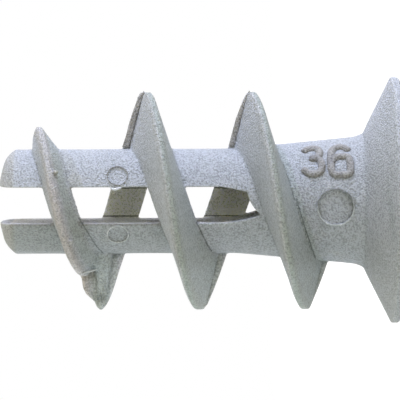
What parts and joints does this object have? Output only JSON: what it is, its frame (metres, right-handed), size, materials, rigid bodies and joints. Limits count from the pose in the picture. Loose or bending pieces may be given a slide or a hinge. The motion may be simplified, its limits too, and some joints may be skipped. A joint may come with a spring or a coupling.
{
  "type": "self-drilling drywall anchor",
  "caption": "Moulded plastic anchor that screws itself into plasterboard: wide flat head with a cross recess, deep right-hand flight and a split shank that a screw spreads.",
  "frame": {"origin": "centre of the head's outer face, which the part stands on", "axes": "+Z along the anchor's axis from the head to the open tip; the mould parts on the XZ plane, the marked front faces -Y and the two legs stand at +X and -X"},
  "size_m": [0.0148, 0.0148, 0.024],
  "materials": {
    "nylon": "fine grained matt, pale grey"
  },
  "bodies": {
    "root": {"anchor_body": "nylon"}
  },
  "joints": []
}
